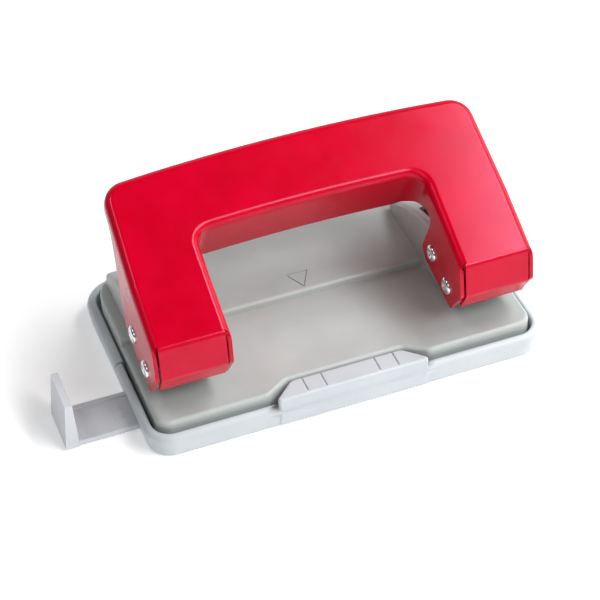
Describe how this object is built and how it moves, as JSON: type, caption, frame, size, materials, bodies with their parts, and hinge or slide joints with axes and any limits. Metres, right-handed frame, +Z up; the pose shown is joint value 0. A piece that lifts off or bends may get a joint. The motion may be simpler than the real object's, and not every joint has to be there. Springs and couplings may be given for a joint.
{
  "type": "hole punch",
  "caption": "Desk hole punch: U-shaped pressed steel lever on brackets, steel base, plastic cover that opens for the waste, sliding paper guide.",
  "frame": {"origin": "on the underside of the cover, in the middle of the cover's plan, on the surface that the punch stands on", "axes": "+X to the right along the row of holes, +Y away from the paper's side towards the handle's bar, +Z up"},
  "size_m": [0.1256, 0.0636, 0.0542],
  "materials": {
    "red_paint": "glossy red enamel on pressed sheet steel",
    "bright_steel": "bright plated steel, ends staked",
    "grey_paint": "satin grey enamel on pressed sheet steel",
    "grey_zinc": "satin grey coating on pressed sheet steel",
    "tool_steel": "ground tool steel",
    "spring_steel": "drawn spring wire and stamped clip",
    "cover_plastic": "soft pale blue-grey moulded polyethylene",
    "guide_plastic": "pale grey moulded polystyrene"
  },
  "bodies": {
    "base": {"base_plate": "grey_paint", "left_bracket": "grey_zinc", "right_bracket": "grey_zinc", "left_pin_guide": "grey_zinc", "right_pin_guide": "grey_zinc", "left_die": "tool_steel", "right_die": "tool_steel", "rear_cover": "cover_plastic", "living_hinge": "cover_plastic", "left_return_spring": "spring_steel", "right_return_spring": "spring_steel"},
    "lever": {"handle": "red_paint", "left_pivot_rod": "bright_steel", "right_pivot_rod": "bright_steel", "left_drive_rod": "bright_steel", "right_drive_rod": "bright_steel"},
    "left_punch": {"left_punch_pin": "tool_steel", "left_spring_clip": "spring_steel"},
    "right_punch": {"right_punch_pin": "tool_steel", "right_spring_clip": "spring_steel"},
    "waste_flap": {"front_cover": "cover_plastic"},
    "edge_guide": {"paper_guide": "guide_plastic"}
  },
  "joints": [
    {"name": "press", "type": "hinge", "parent": "base", "child": "lever", "pos_m": [0, -0.0196, 0.0206], "axis": [-1, 0, 0], "range_deg": [0, 26], "stiffness_Nm_per_rad": 0.14, "springref_deg": -20.05},
    {"name": "left_punch_slide", "type": "slide", "parent": "base", "child": "left_punch", "axis": [0, 0, -1], "range_m": [0, 0.00448], "deforming": ["left_return_spring"]},
    {"name": "right_punch_slide", "type": "slide", "parent": "base", "child": "right_punch", "axis": [0, 0, -1], "range_m": [0, 0.00448], "deforming": ["right_return_spring"]},
    {"name": "cover_open", "type": "hinge", "parent": "base", "child": "waste_flap", "pos_m": [0, -0.001, 0.00025], "axis": [1, 0, 0], "range_deg": [0, 50]},
    {"name": "guide_slide", "type": "slide", "parent": "waste_flap", "child": "edge_guide", "axis": [-1, 0, 0], "range_m": [-0.0145, 0.018]}
  ],
  "couplings": [
    {"joint": "left_punch_slide", "follows": "press", "m_per_rad": 0.00985},
    {"joint": "right_punch_slide", "follows": "press", "m_per_rad": 0.00985}
  ]
}
